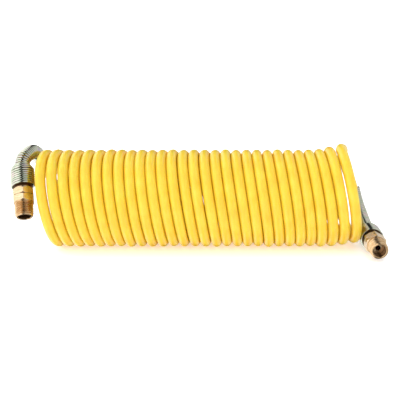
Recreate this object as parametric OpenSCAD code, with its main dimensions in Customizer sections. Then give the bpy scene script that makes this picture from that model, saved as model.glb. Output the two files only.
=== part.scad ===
// Coiled air hose, wound flat on a table, with a swivel male thread and a spring guard at each end.
// Millimetres. +X runs along the coil, +Y to the back and +Z up from the table.

/* [Hose] */
// Outside diameter of the hose
hose_od = 7.75; // [7.5:0.05:8]
// Bore of the hose
hose_bore = 6.2; // [6.1:0.05:6.5]

/* [Coil] */
// Outside diameter of the coil
coil_od = 74.2; // [72:0.2:76]
// Place along X of the coil's left face, at the height of its axis
coil_left = -114.3; // [-114.3:0.1:-114.1]
// Place along X of the coil's right face, at the height of its axis
coil_right = 111.2; // [100:0.1:111.2]
// Lean of the turns, in mm to the left for each mm of height
coil_lean = 0.2; // [0.18:0.01:0.22]

/* [Spring guard] */
// Wire diameter of the spring guard
guard_wire = 1.57; // [1.4:0.01:1.6]
// Outside diameter of the guard's wide end
bell_od = 17.5; // [17.3:0.1:17.8]
// Length of the guard's wide end, shoulder included
bell_length = 19.3; // [18.8:0.1:20]
// Length of the guard's narrow part, measured along the hose
guard_length = 42; // [36:1:44]

/* [Fitting] */
// Size of both hexagons across their flats
hex_flats = 14.29; // [14:0.01:14.6]
// Diameter of the clamp nut's round flange
flange_od = 14; // [13.6:0.1:14.4]
// Length of the clamp nut's hexagon
nut_hex_length = 4.8; // [4.4:0.1:5.2]
// Length of the connector's hexagon
connector_hex_length = 5.15; // [5:0.05:6]
// Radius of the stem's journal, which the connector turns on
journal_r = 3.6; // [3.5:0.01:3.62]
// Radial running clearance of the connector on the journal
journal_clearance = 0.05; // [0.03:0.01:0.08]
// Radius of the air way through the stem
air_way_r = 2; // [1.6:0.1:2.1]

/* [Thread] */
// Radius of the plain neck behind the tapered thread
thread_neck_r = 6.858; // [6.7:0.01:6.9]
// Radius of the thread at its free end
thread_tip_r = 6.35; // [6.2:0.01:6.5]
// Length of the thread, neck and relief included
thread_length = 11.1; // [10.6:0.1:12]

/* [Hidden] */

HOSE_COLOUR = [0.96, 0.78, 0.20];
BRASS = [0.80, 0.62, 0.38];
ZINC = [0.72, 0.72, 0.70];
SEAL_BLACK = [0.06, 0.06, 0.06];
WASHER_WHITE = [0.92, 0.91, 0.87];

// The whole object is moved by this much, so that its box is centred on the origin
frame_shift = [0.64, 1.27, 0];

// Routes of the two free ends of the hose, from the coil to the top of each guard's wide end.
// They are measured from the middle of the coil, at table height.
left_route = [
    [-118, 33, 37], [-121.5, 34, 46], [-125.5, 30.5, 58], [-127.5, 21, 67],
    [-128.5, 12, 70.5], [-129.5, 5, 71], [-131.5, -2, 69.5], [-132.5, -7, 65.5]
];
right_route = [
    [108, 0, 74.5], [109.5, 12.5, 72], [111.5, 23, 64.5], [116, 28.5, 53.5],
    [121.5, 29, 40.5], [125, 27, 28.5], [128, 22, 19], [130, 13, 12], [130.5, 2, 9.5]
];
// Direction of each fitting: tilt from +Z and turn about +Z, in degrees
left_aim = [139, -78];
right_aim = [90, -90];

tube_sides = 12;
steps_per_point = 3;
coil_sides = 64;
round_fn = 64;
hose_r = hose_od / 2;
guard_gap = 0.13;
guard_in_r = hose_r + guard_gap;
guard_out_r = guard_in_r + guard_wire;
bell_out_r = bell_od / 2;
bell_in_r = bell_out_r - guard_wire;
shoulder_length = 4.7;
// How far the guard's round end starts before the axis's own zero, and stops short of bell_length
guard_overlap = 0.3;
throat_gap = 0.2;
throat_z = 0.6;

// Places along the fitting's own axis, measured from the top of the guard's wide end
hose_end_z = 15;
stem_start_z = 2;
ferrule_start_z = 3;
ferrule_end_z = 14.6;
ferrule_grooves_z = [6.5, 10.5];
ferrule_groove_length = 1;
ferrule_slope = 0.5;
nut_start_z = 5;
nut_collar_end_z = bell_length - 1;
shoulder_z = 15.2;
shoulder_end_z = 17;
flange_z = bell_length + 0.8;
nut_hex_z = flange_z + 0.9;
nut_end_z = nut_hex_z + nut_hex_length;
washer_z = nut_end_z + 0.05;
washer_end_z = washer_z + 0.5;
connector_z = nut_end_z + 0.25;
thread_z = connector_z + connector_hex_length;
mouth_z = thread_z + thread_length;
relief_length = 0.6;
neck_z = thread_z + relief_length;
neck_end_z = neck_z + 3;
counterbore_length = 8;
counterbore_z = mouth_z - counterbore_length;
collar_z = counterbore_z + 0.1;
collar_end_z = collar_z + 1.4;
groove_z = connector_z + 3;
groove_length = 1.3;

ferrule_in_r = hose_r + 0.12;
ferrule_out_r = 4.8;
ferrule_groove_r = 4.6;
nut_collar_r = bell_in_r - 0.06;
nut_neck_r = 5.6;
nut_cavity_r = 5.4;
stem_shoulder_r = 5.2;
barb_r = 2.85;
groove_r = journal_r - 0.9;
connector_bore_r = journal_r + journal_clearance;
counterbore_r = 4.65;
relief_r = 6.4;
collar_out_r = 4.4;
washer_in_r = journal_r + 0.1;
washer_out_r = 6.2;
o_ring_section_r = 0.44;
chamfer = 0.6;
cut = 1;

function unit(v) = v / norm(v);
function aim_vector(aim) = [
    sin(aim[0]) * cos(aim[1]),
    sin(aim[0]) * sin(aim[1]),
    cos(aim[0])
];
function last_of(list) = list[len(list) - 1];

// One point of a smooth curve between b and c, with neighbours a and d
function curve_point(a, b, c, d, t) =
    (2 * b + (c - a) * t + (2 * a - 5 * b + 4 * c - d) * t * t
    + (3 * b - a - 3 * c + d) * t * t * t) / 2;
function smooth(route) = [
    for (i = [0 : len(route) - 2])
        for (k = [0 : steps_per_point - 1])
            curve_point(route[max(i - 1, 0)], route[i], route[i + 1],
                route[min(i + 2, len(route) - 1)], k / steps_per_point),
    last_of(route)
];
function run(path, from, to) =
    from >= to ? 0 : norm(path[from + 1] - path[from]) + run(path, from + 1, to);

// The path's index at the top of the guard's wide end, and the first one inside the guard
function bell_index(path) = len(path) - 1 - 2 * steps_per_point;
function guard_index(path) = min([
    for (i = [0 : bell_index(path)])
        if (run(path, i, bell_index(path)) <= guard_length) i
]);
function hose_path(route, aim) = smooth(concat(route, [
    last_of(route) + aim_vector(aim) * hose_end_z / 2,
    last_of(route) + aim_vector(aim) * hose_end_z
]));

// A ring of points square to the path at its point i
function tangent_at(path, i) = unit(path[min(i + 1, len(path) - 1)] - path[max(i - 1, 0)]);
function side_of(t) = unit([1, 0, 0] - t * t[0]);
function ring(path, i, r) =
    let (t = tangent_at(path, i), u = side_of(t), v = cross(t, u))
    [for (s = [0 : tube_sides - 1])
        path[i] + r * (u * cos(360 * s / tube_sides) + v * sin(360 * s / tube_sides))];

// A closed many-sided outline of the coil, with a side and not a corner at the bottom
function coil_outline(r) = [
    for (s = [0 : coil_sides - 1])
        r * [sin((s + 0.5) * 360 / coil_sides), cos((s + 0.5) * 360 / coil_sides)]
];

// A hollow tube swept along one stretch of a path, as one polyhedron: outer rings, then inner rings
module hollow_tube(path, from, to, r_out, r_in) {
    rings = to - from + 1;
    n = tube_sides;
    inner = rings * n;
    points = [
        for (i = [from : to]) each ring(path, i, r_out),
        for (i = [from : to]) each ring(path, i, r_in)
    ];
    outer_faces = [
        for (i = [0 : rings - 2]) for (s = [0 : n - 1])
            [i * n + s, (i + 1) * n + s, (i + 1) * n + (s + 1) % n, i * n + (s + 1) % n]
    ];
    inner_faces = [
        for (i = [0 : rings - 2]) for (s = [0 : n - 1])
            [inner + i * n + s, inner + i * n + (s + 1) % n,
             inner + (i + 1) * n + (s + 1) % n, inner + (i + 1) * n + s]
    ];
    start_faces = [for (s = [0 : n - 1]) [s, (s + 1) % n, inner + (s + 1) % n, inner + s]];
    last = (rings - 1) * n;
    end_faces = [
        for (s = [0 : n - 1])
            [last + s, inner + last + s, inner + last + (s + 1) % n, last + (s + 1) % n]
    ];
    polyhedron(points, concat(outer_faces, inner_faces, start_faces, end_faces), convexity = 8);
}

module placed() {
    translate(frame_shift) children();
}

// Puts a fitting's own axis, +Z, at the end of a route
module on_end(route, aim) {
    placed() translate(last_of(route)) rotate([0, aim[0], aim[1]]) children();
}

// A hexagon with both ends' corners turned off
module chamfered_hex(z0, z1) {
    corner_r = hex_flats / 2 / cos(30);
    intersection() {
        translate([0, 0, z0]) cylinder(r = corner_r, h = z1 - z0, $fn = 6);
        rotate_extrude($fn = round_fn) polygon([
            [0, z0], [hex_flats / 2, z0], [corner_r + 0.1, z0 + chamfer],
            [corner_r + 0.1, z1 - chamfer], [hex_flats / 2, z1], [0, z1]
        ]);
    }
}

module drilled(z0, z1, r) {
    translate([0, 0, z0]) cylinder(r = r, h = z1 - z0, $fn = round_fn);
}

// The closely wound turns, as one leaning shell with a flat facet at the table
module hose_coil() {
    color(HOSE_COLOUR) placed() translate([0, 0, coil_od / 2])
        multmatrix([[1, 0, -coil_lean, 0], [0, 1, 0, 0], [0, 0, 1, 0]])
        translate([coil_left, 0, 0]) rotate([90, 0, 90])
        linear_extrude(coil_right - coil_left) difference() {
            polygon(coil_outline(coil_od / 2 / cos(180 / coil_sides)));
            polygon(coil_outline(coil_od / 2 - hose_od));
        }
}

module hose_tail(route, aim) {
    path = hose_path(route, aim);
    color(HOSE_COLOUR) placed() hollow_tube(path, 0, len(path) - 1, hose_r, hose_bore / 2);
}

module spring_guard(route, aim) {
    path = hose_path(route, aim);
    color(ZINC) {
        placed() hollow_tube(path, guard_index(path), bell_index(path), guard_out_r, guard_in_r);
        on_end(route, aim) rotate_extrude($fn = round_fn) polygon([
            [guard_in_r, -guard_overlap], [guard_out_r, -guard_overlap],
            [bell_out_r, shoulder_length], [bell_out_r, bell_length - guard_overlap],
            [bell_in_r, bell_length - guard_overlap], [bell_in_r, shoulder_length],
            [guard_in_r + throat_gap, throat_z]
        ]);
    }
}

module clamp_nut(route, aim) {
    color(BRASS) on_end(route, aim) difference() {
        union() {
            drilled(nut_start_z, nut_collar_end_z, nut_collar_r);
            drilled(nut_collar_end_z - cut, flange_z + cut, nut_neck_r);
            drilled(flange_z, nut_hex_z, flange_od / 2);
            chamfered_hex(nut_hex_z, nut_end_z);
        }
        drilled(nut_start_z - cut, shoulder_end_z, nut_cavity_r);
        drilled(nut_start_z, nut_end_z + cut, connector_bore_r);
    }
}

// A sleeve over the hose, pressed in along two shallow grooves
module ferrule(route, aim) {
    grooves = [for (z = ferrule_grooves_z) each [
        [ferrule_out_r, z - ferrule_slope], [ferrule_groove_r, z],
        [ferrule_groove_r, z + ferrule_groove_length],
        [ferrule_out_r, z + ferrule_groove_length + ferrule_slope]
    ]];
    color(BRASS) on_end(route, aim) rotate_extrude($fn = round_fn) polygon(concat(
        [[ferrule_in_r, ferrule_start_z], [ferrule_out_r, ferrule_start_z]],
        grooves,
        [[ferrule_out_r, ferrule_end_z], [ferrule_in_r, ferrule_end_z]]
    ));
}

module stem(route, aim) {
    color(BRASS) on_end(route, aim) difference() {
        union() {
            drilled(stem_start_z, shoulder_z, barb_r);
            drilled(shoulder_z, shoulder_end_z, stem_shoulder_r);
            drilled(shoulder_end_z, collar_end_z, journal_r);
        }
        drilled(stem_start_z - cut, collar_end_z + cut, air_way_r);
        difference() {
            drilled(groove_z, groove_z + groove_length, journal_r + cut);
            drilled(groove_z - cut, groove_z + groove_length + cut, groove_r);
        }
    }
}

module thrust_washer(route, aim) {
    color(WASHER_WHITE) on_end(route, aim) difference() {
        drilled(washer_z, washer_end_z, washer_out_r);
        drilled(washer_z - cut, washer_end_z + cut, washer_in_r);
    }
}

module o_ring(route, aim) {
    color(SEAL_BLACK) on_end(route, aim) translate([0, 0, groove_z + groove_length / 2])
        rotate_extrude($fn = round_fn) translate([groove_r + o_ring_section_r + 0.01, 0])
        circle(r = o_ring_section_r, $fn = 24);
}

module retaining_collar(route, aim) {
    color(BRASS) on_end(route, aim) difference() {
        drilled(collar_z, collar_end_z, collar_out_r);
        drilled(collar_z - cut, collar_end_z + cut, journal_r + 0.02);
    }
}

module connector(route, aim) {
    color(BRASS) on_end(route, aim) difference() {
        union() {
            chamfered_hex(connector_z, thread_z);
            rotate_extrude($fn = round_fn) polygon([
                [0, thread_z - cut], [relief_r, thread_z - cut], [relief_r, neck_z],
                [thread_neck_r, neck_z], [thread_neck_r, neck_end_z],
                [thread_tip_r, mouth_z - chamfer],
                [thread_tip_r - chamfer, mouth_z], [0, mouth_z]
            ]);
        }
        drilled(connector_z - cut, washer_end_z + 0.05, washer_out_r + 0.2);
        drilled(connector_z - cut, mouth_z, connector_bore_r);
        drilled(counterbore_z, mouth_z + cut, counterbore_r);
    }
}

hose_coil();
hose_tail(left_route, left_aim);  // hose_tail_left
hose_tail(right_route, right_aim);  // hose_tail_right
spring_guard(left_route, left_aim);  // left_spring_guard
clamp_nut(left_route, left_aim);  // left_clamp_nut
ferrule(left_route, left_aim);  // left_ferrule
stem(left_route, left_aim);  // left_stem
thrust_washer(left_route, left_aim);  // left_thrust_washer
o_ring(left_route, left_aim);  // left_o_ring
retaining_collar(left_route, left_aim);  // left_retaining_collar
connector(left_route, left_aim);  // left_connector
spring_guard(right_route, right_aim);  // right_spring_guard
clamp_nut(right_route, right_aim);  // right_clamp_nut
ferrule(right_route, right_aim);  // right_ferrule
stem(right_route, right_aim);  // right_stem
thrust_washer(right_route, right_aim);  // right_thrust_washer
o_ring(right_route, right_aim);  // right_o_ring
retaining_collar(right_route, right_aim);  // right_retaining_collar
connector(right_route, right_aim);  // right_connector
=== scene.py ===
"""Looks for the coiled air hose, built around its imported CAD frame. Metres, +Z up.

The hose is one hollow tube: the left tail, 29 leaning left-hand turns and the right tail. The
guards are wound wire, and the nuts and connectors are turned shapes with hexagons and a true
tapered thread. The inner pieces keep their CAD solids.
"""

import math

import bpy
import numpy as np
from mathutils import Matrix, Vector


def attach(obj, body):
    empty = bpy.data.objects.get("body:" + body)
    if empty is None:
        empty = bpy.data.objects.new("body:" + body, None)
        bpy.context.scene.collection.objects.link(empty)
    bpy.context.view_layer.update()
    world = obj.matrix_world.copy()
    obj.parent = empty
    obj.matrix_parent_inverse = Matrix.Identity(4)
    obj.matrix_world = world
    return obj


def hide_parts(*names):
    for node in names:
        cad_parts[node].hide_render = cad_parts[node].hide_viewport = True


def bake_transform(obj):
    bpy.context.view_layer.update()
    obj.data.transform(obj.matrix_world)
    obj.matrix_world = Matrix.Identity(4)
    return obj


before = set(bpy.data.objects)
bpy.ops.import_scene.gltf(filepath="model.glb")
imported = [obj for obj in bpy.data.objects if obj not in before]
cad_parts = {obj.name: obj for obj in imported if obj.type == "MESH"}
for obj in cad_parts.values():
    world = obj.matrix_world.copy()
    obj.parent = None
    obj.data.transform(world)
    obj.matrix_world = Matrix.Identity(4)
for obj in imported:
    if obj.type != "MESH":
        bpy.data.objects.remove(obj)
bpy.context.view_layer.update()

MM = 0.001

# ---------------------------------------------------------------- sizes, as in the CAD source

FRAME_SHIFT = Vector((0.64, 1.27, 0.0)) * MM
LEFT_ROUTE = [
    (-0.118, 0.033, 0.037), (-0.1215, 0.034, 0.046), (-0.1255, 0.0305, 0.058),
    (-0.1275, 0.021, 0.067), (-0.1285, 0.012, 0.0705), (-0.1295, 0.005, 0.071),
    (-0.1315, -0.002, 0.0695), (-0.1325, -0.007, 0.0655),
]
RIGHT_ROUTE = [
    (0.108, 0.0, 0.0745), (0.1095, 0.0125, 0.072), (0.1115, 0.023, 0.0645),
    (0.116, 0.0285, 0.0535), (0.1215, 0.029, 0.0405), (0.125, 0.027, 0.0285),
    (0.128, 0.022, 0.019), (0.130, 0.013, 0.012), (0.1305, 0.002, 0.0095),
]
LEFT_AIM = (139, -78)
RIGHT_AIM = (90, -90)

HOSE_R = 3.875 * MM
HOSE_BORE_R = 3.1 * MM
COIL_R = 33.2 * MM
AXIS_HEIGHT = 37.1 * MM

WIRE_R = 0.785 * MM
GUARD_GAP = 0.13 * MM        # between the hose and the wire
GUARD_LENGTH = 42 * MM       # along the hose, before the wide end
BELL_R = 8.75 * MM
HALF_FLATS = 7.145 * MM
FLANGE_R = 7.0 * MM
NUT_COLLAR_R = 7.12 * MM
NUT_NECK_R = 5.6 * MM
NUT_CAVITY_R = 5.4 * MM
BORE_R = 3.65 * MM
COUNTERBORE_R = 4.65 * MM
WASHER_RECESS_R = 6.4 * MM
THREAD_R = 6.858 * MM
THREAD_TIP_R = 5.5 * MM      # of the chamfer at the mouth
THREAD_PITCH = 25.4 / 18 * MM
THREAD_DEPTH = 0.72 * THREAD_PITCH
THREAD_TAPER = 1 / 32        # of the radius along the axis
THREAD_CREST = 0.08          # share of the pitch that is flat, at the crest and at the root
TIP_SLOPE = 0.75             # of the chamfer at the mouth

# Places along a fitting's own axis, from the top of the guard's wide end
HOSE_END_Z = 15 * MM
SHOULDER_LENGTH = 4.7 * MM
BELL_LENGTH = 19.3 * MM
NUT_START_Z = 5 * MM
NUT_CAVITY_Z = 17 * MM
NUT_COLLAR_END_Z = BELL_LENGTH - 1 * MM
FLANGE_Z = 20.1 * MM
NUT_HEX_Z = 21.0 * MM
NUT_END_Z = 25.8 * MM
CONNECTOR_Z = 26.05 * MM
WASHER_RECESS_Z = 26.4 * MM
THREAD_Z = 31.2 * MM
COUNTERBORE_Z = 34.3 * MM
MOUTH_Z = 42.3 * MM

# ---------------------------------------------------------------- the coil's turns

FIRST_TURN = 0.92
LAST_TURN = 29.5
RINGS_PER_TURN = 40
PITCH = 7.92 * MM            # turns that touch
LOOSE_SPREAD = 1.7 * MM      # how much further apart the first few turns lie, in all
LOOSE_TURNS = 1.6            # how fast that dies away
# Slits between turns: the turn where one opens, and its width
GAPS = [(13.3, 0.3 * MM), (15.2, 0.3 * MM), (28.3, 0.15 * MM)]
START_X = -123.1 * MM        # where turn 0 would start, at the height of the axis
LEAN = 0.205                 # to the left, for each unit of height
LEAN_DIP = 0.03              # the turns stand straighter around one turn
LEAN_DIP_TURN = 8
LEAN_DIP_WIDTH = 3.5
END_LEAN = 0.035             # the last turn leans this much more
END_SHIFT = 0.7 * MM         # and lies this much further right
RAISED_TURNS = 3.5           # the last turns ride up over their neighbours
RAISE = 4.2 * MM             # and the last one by this much
WOBBLE = 0.35 * MM           # how much the turns' radius wanders


def wave(turn):
    """A smooth, repeatable wander between about -1 and 1."""
    return 0.5 * math.sin(2.39 * turn + 1.3) + 0.3 * math.sin(5.17 * turn) + 0.2 * math.sin(0.93 * turn)


def ease(t):
    """Rises smoothly from 0 to 1 as t does."""
    t = min(1.0, max(0.0, t))
    return t * t * (3 - 2 * t)


def near_end(turn):
    """How far a turn is into the raised end of the coil, from 0 to 1."""
    return max(0.0, (turn - LAST_TURN + RAISED_TURNS) / RAISED_TURNS) ** 2


def coil_x(turn):
    """Place of a turn along X, at the height of the coil's axis."""
    spread = LOOSE_SPREAD * (1 - math.exp(-turn / LOOSE_TURNS))
    gaps = sum(size * ease(turn - at) for at, size in GAPS)
    return START_X + PITCH * turn + spread + gaps + END_SHIFT * near_end(turn)


def lean(turn):
    """How far a turn leans to the left for each metre of height."""
    dip = LEAN_DIP * math.exp(-((turn - LEAN_DIP_TURN) / LEAN_DIP_WIDTH) ** 2)
    return LEAN - dip + END_LEAN * near_end(turn)


def coil_point(turn):
    """A point of the hose's centre line. Turn n starts at the bottom and comes up at the front."""
    angle = 2 * math.pi * turn
    radius = COIL_R + WOBBLE * wave(turn)
    height = -radius * math.cos(angle)
    x = coil_x(turn) - lean(turn) * height
    z = max(AXIS_HEIGHT + height + RAISE * near_end(turn), HOSE_R)
    return Vector((x, -radius * math.sin(angle), z))


# ---------------------------------------------------------------- curves and tubes

def aim_vector(aim):
    """The direction a fitting faces, from its tilt off +Z and its turn about +Z."""
    tilt, turn = (math.radians(a) for a in aim)
    return Vector((math.sin(tilt) * math.cos(turn), math.sin(tilt) * math.sin(turn), math.cos(tilt)))


def smooth(points, steps):
    """A smooth curve through the points, with that many steps between each pair."""
    out = []
    for i in range(len(points) - 1):
        a, b = points[max(i - 1, 0)], points[i]
        c, d = points[i + 1], points[min(i + 2, len(points) - 1)]
        for k in range(steps):
            t = k / steps
            out.append((2 * b + (c - a) * t + (2 * a - 5 * b + 4 * c - d) * t * t
                        + (3 * b - a - 3 * c + d) * t ** 3) / 2)
    return out + [points[-1]]


def evenly(points, spacing):
    """The same curve with its points at even distances."""
    co = np.array([tuple(p) for p in points])
    run = np.concatenate([[0], np.cumsum(np.linalg.norm(np.diff(co, axis=0), axis=1))])
    count = max(2, int(round(run[-1] / spacing)) + 1)
    at = np.linspace(0, run[-1], count)
    return [Vector([float(np.interp(s, run, co[:, k])) for k in range(3)]) for s in at]


def frames(path):
    """(tangent, side, side) at each point of a path, turning as little as it can."""
    tangents = [(path[min(i + 1, len(path) - 1)] - path[max(i - 1, 0)]).normalized()
                for i in range(len(path))]
    side = Vector((1, 0, 0)) - tangents[0] * tangents[0].x
    out = []
    for t in tangents:
        side = (side - t * side.dot(t)).normalized()
        out.append((t, side, t.cross(side)))
    return out


def mesh_object(name, vertices, faces, sharp_degrees=None):
    """A smooth-shaded object. Edges that turn by more than sharp_degrees stay sharp."""
    mesh = bpy.data.meshes.new(name)
    mesh.from_pydata([tuple(v) for v in vertices], [], faces)
    mesh.validate()
    mesh.shade_smooth()
    if sharp_degrees is not None:
        mesh.set_sharp_from_angle(angle=math.radians(sharp_degrees))
    piece = bpy.data.objects.new(name, mesh)
    bpy.context.scene.collection.objects.link(piece)
    return piece


def swept(path, radius, sides, bore=None):
    """Vertices and faces of a tube along a path: closed by flat ends, or hollow if it has a bore."""
    vertices, faces = [], []
    around = [(math.cos(2 * math.pi * s / sides), math.sin(2 * math.pi * s / sides))
              for s in range(sides)]
    sleeves = [radius] if bore is None else [radius, bore]
    placed = frames(path)
    for r in sleeves:
        for point, (_, u, v) in zip(path, placed):
            vertices += [point + r * (c * u + s * v) for c, s in around]
    rings = len(path)
    inner = rings * sides
    for sleeve in range(len(sleeves)):
        base = sleeve * inner
        for i in range(rings - 1):
            for s in range(sides):
                a, b = base + i * sides + s, base + i * sides + (s + 1) % sides
                quad = (a, b, b + sides, a + sides)
                faces.append(quad if sleeve == 0 else quad[::-1])
    last = (rings - 1) * sides
    if bore is None:
        faces.append(tuple(range(sides))[::-1])
        faces.append(tuple(last + s for s in range(sides)))
    else:
        for s in range(sides):
            n = (s + 1) % sides
            faces.append((s, inner + s, inner + n, n))
            faces.append((last + s, last + n, inner + last + n, inner + last + s))
    return vertices, faces


# ---------------------------------------------------------------- turned pieces

SIDES = 96
SHARP_EDGE = 32              # degrees
CHAMFER_SLOPE = 1.8          # of a hexagon's corners
CHAMFER_STEPS = [0.0, 0.1, 0.2, 0.3, 0.4, 0.5, 0.6]
THREAD_ROWS_PER_TURN = 12


def lathe(name, loops):
    """A closed turned piece along +Z. A loop is a height and a radius, or a height and a function
    from angle to radius. The loops go up the outside and come down the inside."""
    vertices = []
    for z, radius in loops:
        for s in range(SIDES):
            angle = 2 * math.pi * s / SIDES
            r = radius(angle) if callable(radius) else radius
            vertices.append((r * math.cos(angle), r * math.sin(angle), z))
    faces = []
    for k in range(len(loops)):
        low, high = k * SIDES, (k + 1) % len(loops) * SIDES
        for s in range(SIDES):
            n = (s + 1) % SIDES
            faces.append((low + s, low + n, high + n, high + s))
    return mesh_object(name, vertices, faces, SHARP_EDGE)


def hexagon(limit):
    """Radius of a hexagon at an angle, turned down to a round limit."""
    def radius(angle):
        off = (math.degrees(angle) % 60) - 30
        return min(HALF_FLATS / math.cos(math.radians(off)), limit)
    return radius


def hexagon_loops(z0, z1):
    """A hexagon with its corners chamfered at both ends."""
    rows = [(z0 + d * MM, HALF_FLATS + CHAMFER_SLOPE * d * MM) for d in CHAMFER_STEPS]
    rows += [(z1 - d * MM, HALF_FLATS + CHAMFER_SLOPE * d * MM) for d in reversed(CHAMFER_STEPS)]
    return [(z, hexagon(limit)) for z, limit in rows]


def thread_radius(z):
    """Radius of the tapered right-hand thread at a height, as a function of the angle."""
    depth = THREAD_DEPTH * min(1.0, (z - THREAD_Z) / THREAD_PITCH)
    crest = THREAD_R - THREAD_TAPER * max(0.0, z - THREAD_Z)
    tip = THREAD_TIP_R + TIP_SLOPE * (MOUTH_Z - z)
    flank = 1 - 2 * THREAD_CREST

    def radius(angle):
        phase = (z / THREAD_PITCH - angle / (2 * math.pi)) % 1.0
        down = 1 - abs(2 * phase - 1)
        return min(crest - depth * min(1.0, max(0.0, (down - THREAD_CREST) / flank)), tip)
    return radius


def nut_loops():
    """The clamp nut: collar inside the guard, neck, flange and hexagon, then bore and cavity."""
    edge = 0.25 * MM
    outside = [(NUT_START_Z, NUT_COLLAR_R - edge), (NUT_START_Z + edge, NUT_COLLAR_R),
               (NUT_COLLAR_END_Z, NUT_COLLAR_R), (NUT_COLLAR_END_Z, NUT_NECK_R),
               (FLANGE_Z, NUT_NECK_R), (FLANGE_Z, FLANGE_R - edge), (FLANGE_Z + edge, FLANGE_R),
               (NUT_HEX_Z - edge, FLANGE_R), (NUT_HEX_Z, FLANGE_R - edge)]
    inside = [(NUT_END_Z, BORE_R + edge), (NUT_END_Z - edge, BORE_R), (NUT_CAVITY_Z, BORE_R),
              (NUT_CAVITY_Z, NUT_CAVITY_R), (NUT_START_Z, NUT_CAVITY_R)]
    return outside + hexagon_loops(NUT_HEX_Z, NUT_END_Z) + inside


def connector_loops():
    """The connector: hexagon and thread, then mouth, counterbore, bore and washer recess."""
    edge = 0.3 * MM
    step = THREAD_PITCH / THREAD_ROWS_PER_TURN
    rows = int((MOUTH_Z - THREAD_Z) / step)
    thread = [(THREAD_Z + step * k, thread_radius(THREAD_Z + step * k)) for k in range(rows + 1)]
    inside = [(MOUTH_Z, THREAD_TIP_R), (MOUTH_Z, COUNTERBORE_R + edge),
              (MOUTH_Z - edge, COUNTERBORE_R), (COUNTERBORE_Z, COUNTERBORE_R),
              (COUNTERBORE_Z, BORE_R), (WASHER_RECESS_Z, BORE_R),
              (WASHER_RECESS_Z, WASHER_RECESS_R), (CONNECTOR_Z, WASHER_RECESS_R)]
    return hexagon_loops(CONNECTOR_Z, THREAD_Z) + thread + inside


# ---------------------------------------------------------------- materials

EVEN = (1, 1, 1)
TURNED = (1, 1, 14)          # noise drawn out round the axis, as turning marks are


def new_material(name):
    material = bpy.data.materials.new(name)
    material.use_nodes = True
    tree = material.node_tree
    shader = next(n for n in tree.nodes if n.type == "BSDF_PRINCIPLED")
    return material, tree, shader


def noise(tree, scale, detail, stretch):
    """A noise value over the piece's own coordinates, in metres. stretch scales each axis."""
    place = tree.nodes.new("ShaderNodeTexCoord")
    mapping = tree.nodes.new("ShaderNodeMapping")
    mapping.inputs["Scale"].default_value = stretch
    texture = tree.nodes.new("ShaderNodeTexNoise")
    texture.inputs["Scale"].default_value = scale
    texture.inputs["Detail"].default_value = detail
    tree.links.new(place.outputs["Object"], mapping.inputs["Vector"])
    tree.links.new(mapping.outputs["Vector"], texture.inputs["Vector"])
    return texture.outputs["Fac"]


def ramp(tree, value, stops):
    """Colours spread over a value. A stop is a place from 0 to 1 and a colour."""
    node = tree.nodes.new("ShaderNodeValToRGB")
    elements = node.color_ramp.elements
    while len(elements) < len(stops):
        elements.new(0.5)
    for element, (at, colour) in zip(elements, stops):
        element.position = at
        element.color = (*colour, 1)
    tree.links.new(value, node.inputs["Fac"])
    return node.outputs["Color"]


def spread(tree, value, low, high):
    """Maps a noise value onto a range of numbers."""
    node = tree.nodes.new("ShaderNodeMapRange")
    node.inputs["From Min"].default_value = 0.3
    node.inputs["From Max"].default_value = 0.7
    node.inputs["To Min"].default_value = low
    node.inputs["To Max"].default_value = high
    tree.links.new(value, node.inputs["Value"])
    return node.outputs["Result"]


def bump(tree, shader, height, strength, distance):
    node = tree.nodes.new("ShaderNodeBump")
    node.inputs["Strength"].default_value = strength
    node.inputs["Distance"].default_value = distance
    tree.links.new(height, node.inputs["Height"])
    tree.links.new(node.outputs["Normal"], shader.inputs["Normal"])


def surface(name, stops, scale, roughness, bumps, metallic=0.0, stretch=EVEN):
    """A material of varying colour and roughness, and its shader. roughness is (low, high), and
    bumps is (scale, strength, distance, stretch)."""
    material, tree, shader = new_material(name)
    colour = ramp(tree, noise(tree, scale, 3.0, stretch), stops)
    tree.links.new(colour, shader.inputs["Base Color"])
    rough = spread(tree, noise(tree, 2.7 * scale, 4.0, stretch), *roughness)
    tree.links.new(rough, shader.inputs["Roughness"])
    shader.inputs["Metallic"].default_value = metallic
    bump_scale, strength, distance, bump_stretch = bumps
    bump(tree, shader, noise(tree, bump_scale, 2.0, bump_stretch), strength, distance)
    return material, shader


def hose_material():
    stops = [(0.25, (0.88, 0.50, 0.026)), (0.55, (0.91, 0.56, 0.038)), (0.8, (0.93, 0.61, 0.06))]
    bumps = (420, 0.12, 0.0004, EVEN)
    material, shader = surface("hose_nylon", stops, 90, (0.34, 0.46), bumps)
    shader.inputs["Subsurface Weight"].default_value = 0.5
    shader.inputs["Subsurface Radius"].default_value = (1.0, 0.45, 0.08)
    shader.inputs["Subsurface Scale"].default_value = 4 * MM
    shader.inputs["Coat Weight"].default_value = 0.25
    shader.inputs["Coat Roughness"].default_value = 0.22
    return material


def brass_material():
    stops = [(0.3, (0.68, 0.49, 0.27)), (0.5, (0.78, 0.59, 0.36)), (0.72, (0.88, 0.71, 0.48))]
    return surface("brass", stops, 160, (0.16, 0.28), (260, 0.05, 0.0002, TURNED), 1.0, TURNED)[0]


def thread_material():
    stops = [(0.3, (0.52, 0.33, 0.16)), (0.5, (0.68, 0.46, 0.25)), (0.72, (0.82, 0.60, 0.36))]
    bumps = (500, 0.06, 0.0002, TURNED)
    return surface("brass_thread", stops, 240, (0.18, 0.32), bumps, 1.0, TURNED)[0]


# Dark brass as painted shade, for the bores and the groove between the guard and the flange
def shaded_brass_material():
    stops = [(0.3, (0.14, 0.07, 0.035)), (0.5, (0.22, 0.12, 0.06)), (0.72, (0.33, 0.20, 0.10))]
    return surface("brass_painted_shade", stops, 200, (0.35, 0.5), (400, 0.08, 0.0002, TURNED), 1.0, TURNED)[0]


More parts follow.
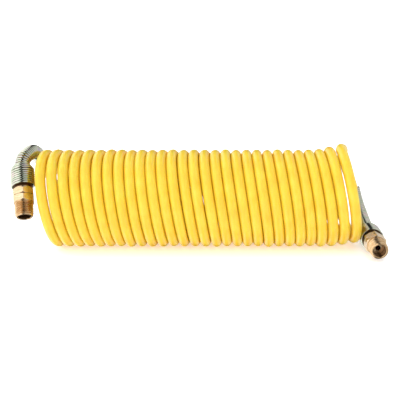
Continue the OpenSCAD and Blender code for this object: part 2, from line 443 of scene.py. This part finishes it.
def zinc_material():
    stops = [(0.28, (0.50, 0.44, 0.54)), (0.42, (0.64, 0.61, 0.54)), (0.52, (0.54, 0.60, 0.47)),
             (0.62, (0.68, 0.65, 0.57)), (0.74, (0.66, 0.49, 0.52))]
    return surface("zinc_wire", stops, 130, (0.09, 0.17), (900, 0.1, 0.0001, EVEN), 1.0)[0]


def washer_material():
    stops = [(0.3, (0.80, 0.78, 0.72)), (0.7, (0.88, 0.87, 0.83))]
    return surface("washer_plastic", stops, 300, (0.45, 0.6), (800, 0.2, 0.0001, EVEN))[0]


def rubber_material():
    stops = [(0.3, (0.012, 0.012, 0.012)), (0.7, (0.03, 0.03, 0.03))]
    return surface("seal_rubber", stops, 400, (0.55, 0.75), (900, 0.2, 0.0001, EVEN))[0]


HOSE = hose_material()
BRASS = brass_material()
THREAD = thread_material()
SHADED_BRASS = shaded_brass_material()
ZINC = zinc_material()
WASHER = washer_material()
RUBBER = rubber_material()

# ---------------------------------------------------------------- camera, floor and lights

VIEW_DISTANCE = 0.558
VIEW_ELEVATION = 18          # degrees
VIEW_DROP = 1.5 * MM         # how far below the coil's axis the camera looks
LENS = 65.6
SENSOR = 36


def make_camera():
    tilt = math.radians(VIEW_ELEVATION)
    back = Vector((0, -math.cos(tilt), math.sin(tilt)))
    up = Vector((0, math.sin(tilt), math.cos(tilt)))
    data = bpy.data.cameras.new("camera")
    data.lens = LENS
    data.sensor_width = SENSOR
    camera = bpy.data.objects.new("camera", data)
    middle = Vector((0, 0, AXIS_HEIGHT)) + FRAME_SHIFT
    camera.location = middle - up * VIEW_DROP + back * VIEW_DISTANCE
    camera.rotation_mode = "QUATERNION"
    camera.rotation_quaternion = (-back).to_track_quat("-Z", "Y")
    bpy.context.scene.collection.objects.link(camera)
    bpy.context.scene.camera = camera


def make_floor():
    material, tree, shader = new_material("floor")
    shader.inputs["Base Color"].default_value = (0.95, 0.95, 0.95, 1)
    shader.inputs["Roughness"].default_value = 1.0
    shader.inputs["Specular IOR Level"].default_value = 0.0
    shader.inputs["Emission Color"].default_value = (1, 1, 1, 1)
    shader.inputs["Emission Strength"].default_value = 0.4
    reach = 30.0
    floor = mesh_object("floor", [(-reach, -reach, 0), (reach, -reach, 0), (reach, reach, 0),
                                  (-reach, reach, 0)], [(0, 1, 2, 3)])
    floor.data.materials.append(material)
    floor.visible_glossy = False


def wide_sun(name, from_direction, width_degrees, strength):
    """A soft, even light from one side. Its angular width makes its shadows soft, and it leaves
    reflections to the world."""
    data = bpy.data.lights.new(name, "SUN")
    data.angle = math.radians(width_degrees)
    data.energy = strength
    light = bpy.data.objects.new(name, data)
    light.rotation_mode = "QUATERNION"
    light.rotation_quaternion = Vector(from_direction).to_track_quat("Z", "Y")
    light.visible_glossy = False
    bpy.context.scene.collection.objects.link(light)


WORLD_STRENGTH = 0.66         # as it lights the scene
BACKDROP_STRENGTH = 1.0       # as it is seen behind the floor
WORLD_MIRRORED = 2.0          # as reflections see it, where MIRRORED is 1
# What reflections see of the world, from the left (0) to the right (1): a bright side, a dark strip
# in front, and a duller side
MIRRORED = [(0.0, 0.6), (0.12, 0.8), (0.38, 0.7), (0.44, 0.01), (0.58, 0.01), (0.65, 0.38), (1.0, 0.42)]


def make_world():
    """Even pale light. Reflections see a brighter left, a dark strip in front and a duller right."""
    world = bpy.data.worlds.new("world")
    world.use_nodes = True
    tree = world.node_tree
    place = tree.nodes.new("ShaderNodeTexCoord")
    axes = tree.nodes.new("ShaderNodeSeparateXYZ")
    tree.links.new(place.outputs["Generated"], axes.inputs["Vector"])
    across = tree.nodes.new("ShaderNodeMapRange")
    across.inputs["From Min"].default_value = -1.0
    tree.links.new(axes.outputs["X"], across.inputs["Value"])
    mirrored = tree.nodes.new("ShaderNodeBackground")
    mirrored.inputs["Strength"].default_value = WORLD_MIRRORED
    tree.links.new(ramp(tree, across.outputs["Result"], [(at, (v, v, v)) for at, v in MIRRORED]),
                   mirrored.inputs["Color"])
    plain = tree.nodes["Background"]
    plain.inputs["Color"].default_value = (1, 1, 1, 1)
    ray = tree.nodes.new("ShaderNodeLightPath")
    strength = tree.nodes.new("ShaderNodeMapRange")
    strength.inputs["To Min"].default_value = WORLD_STRENGTH
    strength.inputs["To Max"].default_value = BACKDROP_STRENGTH
    tree.links.new(ray.outputs["Is Camera Ray"], strength.inputs["Value"])
    tree.links.new(strength.outputs["Result"], plain.inputs["Strength"])
    mix = tree.nodes.new("ShaderNodeMixShader")
    tree.links.new(ray.outputs["Is Glossy Ray"], mix.inputs["Fac"])
    tree.links.new(plain.outputs["Background"], mix.inputs[1])
    tree.links.new(mirrored.outputs["Background"], mix.inputs[2])
    tree.links.new(mix.outputs["Shader"], tree.nodes["World Output"].inputs["Surface"])
    bpy.context.scene.world = world


make_camera()
make_floor()
make_world()
wide_sun("key", (-0.5, -0.22, 0.8), 100, 2.2)
wide_sun("fill", (0.45, -0.75, 0.35), 90, 0.6)
bpy.context.scene.view_settings.view_transform = "Standard"

# ---------------------------------------------------------------- the hose

TAIL_STEPS = 12              # curve steps between a tail's points
JOIN_RINGS = RINGS_PER_TURN // 8
JOIN_STEP = 4


def tail_points(route, aim):
    """The tail's listed points, and its run down the inside of the fitting."""
    points = [Vector(p) for p in route]
    along = aim_vector(aim) * HOSE_END_Z
    return points + [points[-1] + along / 2, points[-1] + along]


def hose_path():
    """Ring centres of the whole hose and, for each, how far it is through the stretching coil.
    Each tail's curve starts a few rings inside the coil, so that it leaves the coil smoothly."""
    count = int(round((LAST_TURN - FIRST_TURN) * RINGS_PER_TURN))
    turns = [FIRST_TURN + (LAST_TURN - FIRST_TURN) * i / count for i in range(count + 1)]
    coil = [coil_point(t) for t in turns]
    gap = (coil[1] - coil[0]).length
    lead = coil[:JOIN_RINGS:JOIN_STEP]
    left = smooth(tail_points(LEFT_ROUTE, LEFT_AIM)[::-1] + lead, TAIL_STEPS)
    left = evenly(left[:len(left) - TAIL_STEPS * (len(lead) - 1)], gap)[:-1]
    trail = coil[-JOIN_RINGS::JOIN_STEP]
    right = smooth(trail + tail_points(RIGHT_ROUTE, RIGHT_AIM)[1:], TAIL_STEPS)
    right = evenly(right[TAIL_STEPS * (len(trail) - 1):], gap)[1:]
    path = left + coil + right
    share = [0.0] * len(left) + [i / count for i in range(count + 1)] + [1.0] * len(right)
    return [p + FRAME_SHIFT for p in path], share


HOSE_SIDES = 20


def make_hose(path):
    """The whole hose as one hollow tube."""
    hose = mesh_object("hose", *swept(path, HOSE_R, HOSE_SIDES, HOSE_BORE_R))
    hose.data.materials.append(HOSE)
    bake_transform(hose)
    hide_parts("hose_coil", "hose_tail_left", "hose_tail_right")
    return hose


PATH, SHARE = hose_path()
hose = make_hose(PATH)

# ---------------------------------------------------------------- the spring guards

WIRE_SIDES = 10
POINTS_PER_TURN = 24
CLOSE_PITCH = 1.68 * MM      # wire turns side by side
OPEN_PITCH = 1.92 * MM       # turns on the shoulder, which lie apart
OPEN_FROM = -1.5 * MM
OPEN_TO = 7 * MM
OPEN_EASE = 3 * MM           # over which the pitch changes
LINE_STEPS = 16              # curve steps between the route's points
LINE_STEP = 0.25 * MM        # then between points of a guard's centre line
GUARD_SHORT = 0.4 * MM       # how far the wire stops short of BELL_LENGTH
WIRE_SHARP_EDGE = 40         # degrees


def guard_pitch(z):
    opened = ease((z - OPEN_FROM) / OPEN_EASE) - ease((z - OPEN_TO) / OPEN_EASE)
    return CLOSE_PITCH + (OPEN_PITCH - CLOSE_PITCH) * opened


def guard_radius(z):
    """Radius of the wire's centre: narrow along the hose, then out over the shoulder."""
    narrow = HOSE_R + GUARD_GAP + WIRE_R
    return narrow + (BELL_R - WIRE_R - narrow) * min(1.0, max(0.0, z / SHOULDER_LENGTH))


def guard_line(route, aim):
    """Close points of the guard's centre line, each with its z along the fitting's axis."""
    points = evenly(smooth(tail_points(route, aim), LINE_STEPS), LINE_STEP)
    top = Vector(route[-1])
    nearest = min(range(len(points)), key=lambda i: (points[i] - top).length)
    first = nearest - int(GUARD_LENGTH / LINE_STEP)
    along_hose = [(points[i], (i - nearest) * LINE_STEP) for i in range(first, nearest)]
    count = int((BELL_LENGTH - GUARD_SHORT - WIRE_R) / LINE_STEP)
    over_nut = [(top + aim_vector(aim) * (LINE_STEP * i), LINE_STEP * i) for i in range(count + 1)]
    return along_hose + over_nut


def make_guard(side, route, aim, body, end_angle):
    """One wire, wound closely along the hose and then out over the nut. It ends at end_angle."""
    line = guard_line(route, aim)
    placed = frames([p for p, _ in line])
    angles = [0.0]
    for (_, z), (_, before) in zip(line[1:], line):
        angles.append(angles[-1] + 2 * math.pi * (z - before) / guard_pitch(z))
    wound = angles[-1]
    start = math.radians(end_angle) - wound
    steps = int(wound / (2 * math.pi) * POINTS_PER_TURN)
    wire = []
    for k in range(steps + 1):
        at = float(np.interp(wound * k / steps, angles, range(len(line))))
        i = min(int(at), len(line) - 2)
        part = at - i
        centre = line[i][0].lerp(line[i + 1][0], part)
        z = line[i][1] + (line[i + 1][1] - line[i][1]) * part
        _, u, v = placed[i]
        angle = wound * k / steps + start
        out = math.cos(angle) * u + math.sin(angle) * v
        wire.append(centre + guard_radius(z) * out + FRAME_SHIFT)
    guard = mesh_object(f"{side}_guard_wire", *swept(wire, WIRE_R, WIRE_SIDES), WIRE_SHARP_EDGE)
    guard.data.materials.append(ZINC)
    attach(guard, body)
    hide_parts(f"{side}_spring_guard")


# ---------------------------------------------------------------- the fittings

# The third slot is dark brass, painted shade for the bores and grooves
PLAIN, THREADED, SHADED = 0, 1, 2          # material slots of a turned piece
LOOKS = (BRASS, THREAD, SHADED_BRASS)
JUST_OUTSIDE = 0.01 * MM


def fitting_matrix(route, aim):
    """Puts a fitting's own axis, +Z, at the end of a route."""
    tilt, turn = (math.radians(a) for a in aim)
    return (Matrix.Translation(Vector(route[-1]) + FRAME_SHIFT)
            @ Matrix.Rotation(turn, 4, "Z") @ Matrix.Rotation(tilt, 4, "Y"))


def make_turned(name, loops, matrix, body, node, material_at):
    """A turned brass piece. material_at gives a face's slot from its centre."""
    piece = lathe(name, loops)
    piece.matrix_world = matrix
    for material in LOOKS:
        piece.data.materials.append(material)
    for face in piece.data.polygons:
        face.material_index = material_at(face.center)
    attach(piece, body)
    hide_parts(node)


def nut_look(centre):
    """The groove between the guard and the flange, and the inside, get dark brass as painted shade."""
    outside = centre.to_2d().length > NUT_NECK_R + JUST_OUTSIDE
    return PLAIN if centre.z > FLANGE_Z and outside else SHADED


def connector_look(centre):
    """The bore gets dark brass as painted shade, and the thread is darker than the hexagon."""
    if centre.to_2d().length < COUNTERBORE_R + JUST_OUTSIDE:
        return SHADED
    return THREADED if centre.z > THREAD_Z else PLAIN


def make_fitting(side, route, aim, body):
    matrix = fitting_matrix(route, aim)
    make_turned(f"{side}_nut", nut_loops(), matrix, body, f"{side}_clamp_nut", nut_look)
    make_turned(f"{side}_thread_connector", connector_loops(), matrix,
                f"{side}_connector", f"{side}_connector", connector_look)


make_guard("left", LEFT_ROUTE, LEFT_AIM, "root", end_angle=200)
make_guard("right", RIGHT_ROUTE, RIGHT_AIM, "right_end", end_angle=20)
make_fitting("left", LEFT_ROUTE, LEFT_AIM, "root")
make_fitting("right", RIGHT_ROUTE, RIGHT_AIM, "right_end")

INNER = {"ferrule": BRASS, "stem": BRASS, "retaining_collar": BRASS, "thrust_washer": WASHER,
         "o_ring": RUBBER}
for side in ("left", "right"):
    for name, material in INNER.items():
        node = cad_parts[f"{side}_{name}"]
        node.data.materials.clear()
        node.data.materials.append(material)
